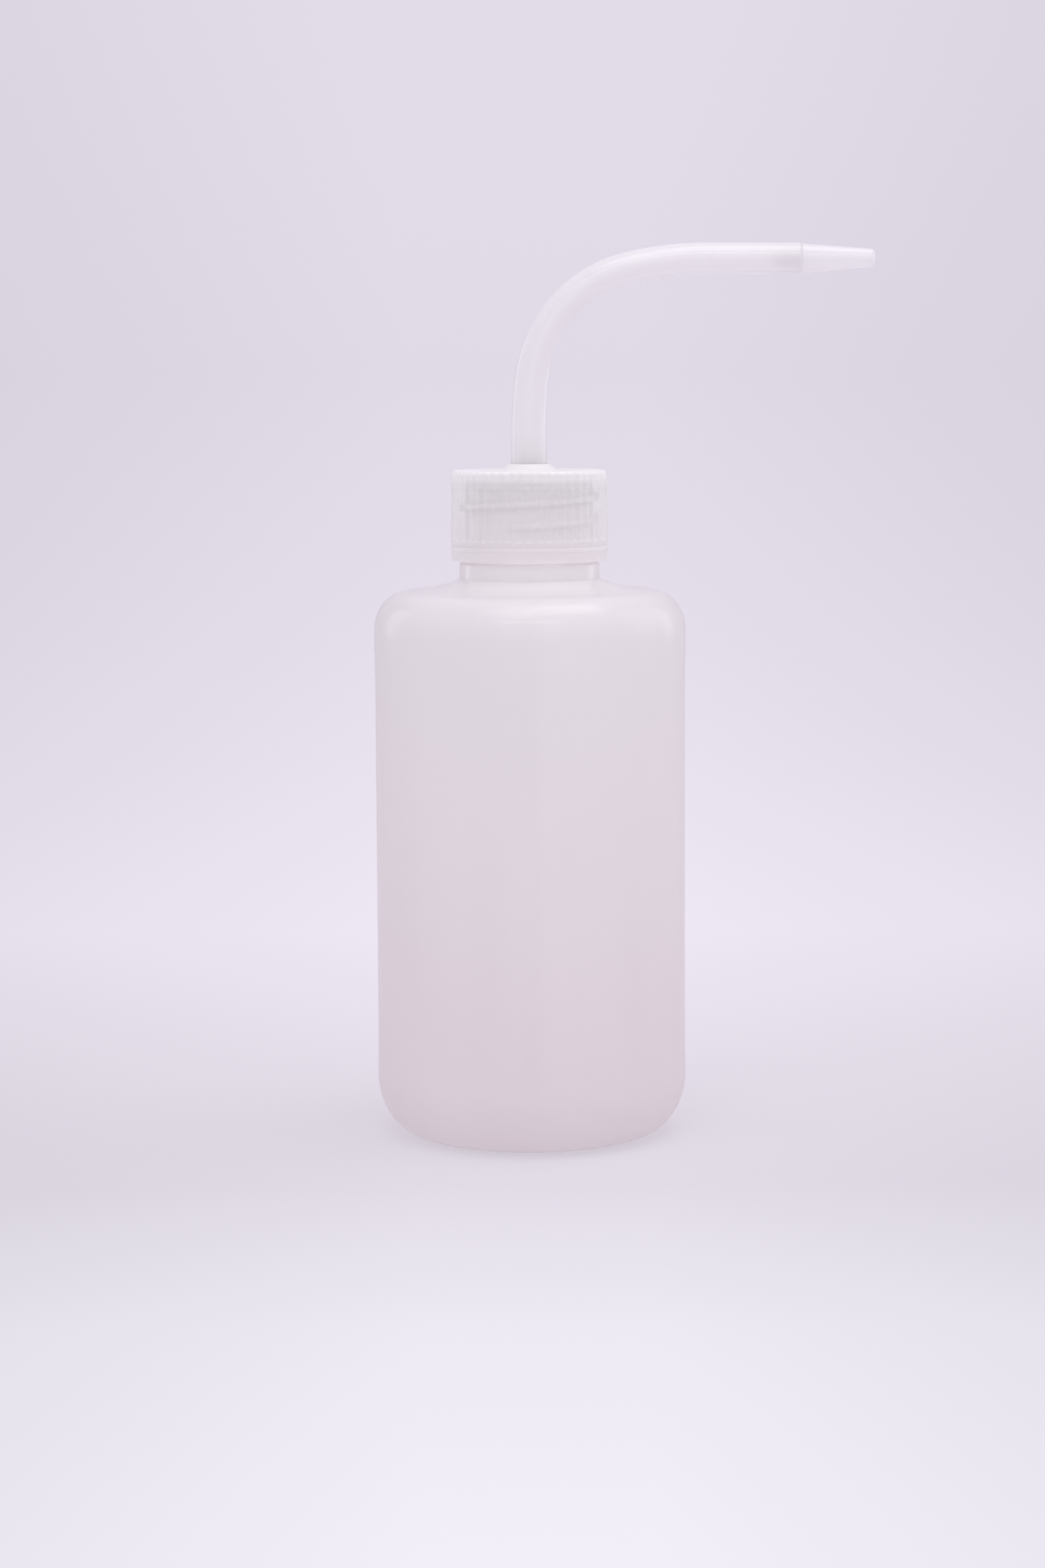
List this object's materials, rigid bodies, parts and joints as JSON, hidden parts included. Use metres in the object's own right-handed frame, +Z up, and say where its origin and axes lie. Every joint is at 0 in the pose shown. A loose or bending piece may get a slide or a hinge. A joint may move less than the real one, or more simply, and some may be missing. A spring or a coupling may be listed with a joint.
{
  "type": "wash bottle",
  "caption": "Squeezable laboratory wash bottle: round translucent body, ribbed screw cap, bent spout with a tapered jet, dip tube inside.",
  "frame": {"origin": "middle of the flat base, on the bottle's axis, where the bottle stands", "axes": "+Z up along the bottle's axis; +X the way the spout points; +Y across, with the spout in the plane y = 0"},
  "size_m": [0.0976, 0.061, 0.1743],
  "materials": {
    "bottle_plastic": "natural low-density polyethylene, milky and translucent, satin",
    "cap_plastic": "natural polypropylene, translucent, satin with moulded ribs",
    "washer_foam": "white foamed polyethylene",
    "tube_plastic": "clear-milky polyethylene tube, glossy",
    "tip_plastic": "natural polyethylene, satin",
    "dip_plastic": "natural polyethylene, satin"
  },
  "bodies": {
    "bottle": {"bottle": "bottle_plastic"},
    "washer": {"sealing_washer": "washer_foam"},
    "cap": {"screw_cap": "cap_plastic"},
    "spout": {"delivery_tube": "tube_plastic", "nozzle_tip": "tip_plastic", "dip_tube": "dip_plastic"}
  },
  "joints": [
    {"name": "closure_rise", "type": "slide", "parent": "bottle", "child": "washer", "axis": [0, 0, 1], "range_m": [0, 0.00635]},
    {"name": "cap_turn", "type": "hinge", "parent": "washer", "child": "cap", "pos_m": [0, 0, 0.1213], "axis": [0, 0, 1], "range_deg": [0, 540]},
    {"name": "spout_swivel", "type": "hinge", "parent": "washer", "child": "spout", "pos_m": [0, 0, 0.1288], "axis": [0, 0, 1], "continuous": true}
  ],
  "couplings": [
    {"joint": "closure_rise", "follows": "cap_turn", "m_per_rad": 0.00067375}
  ]
}
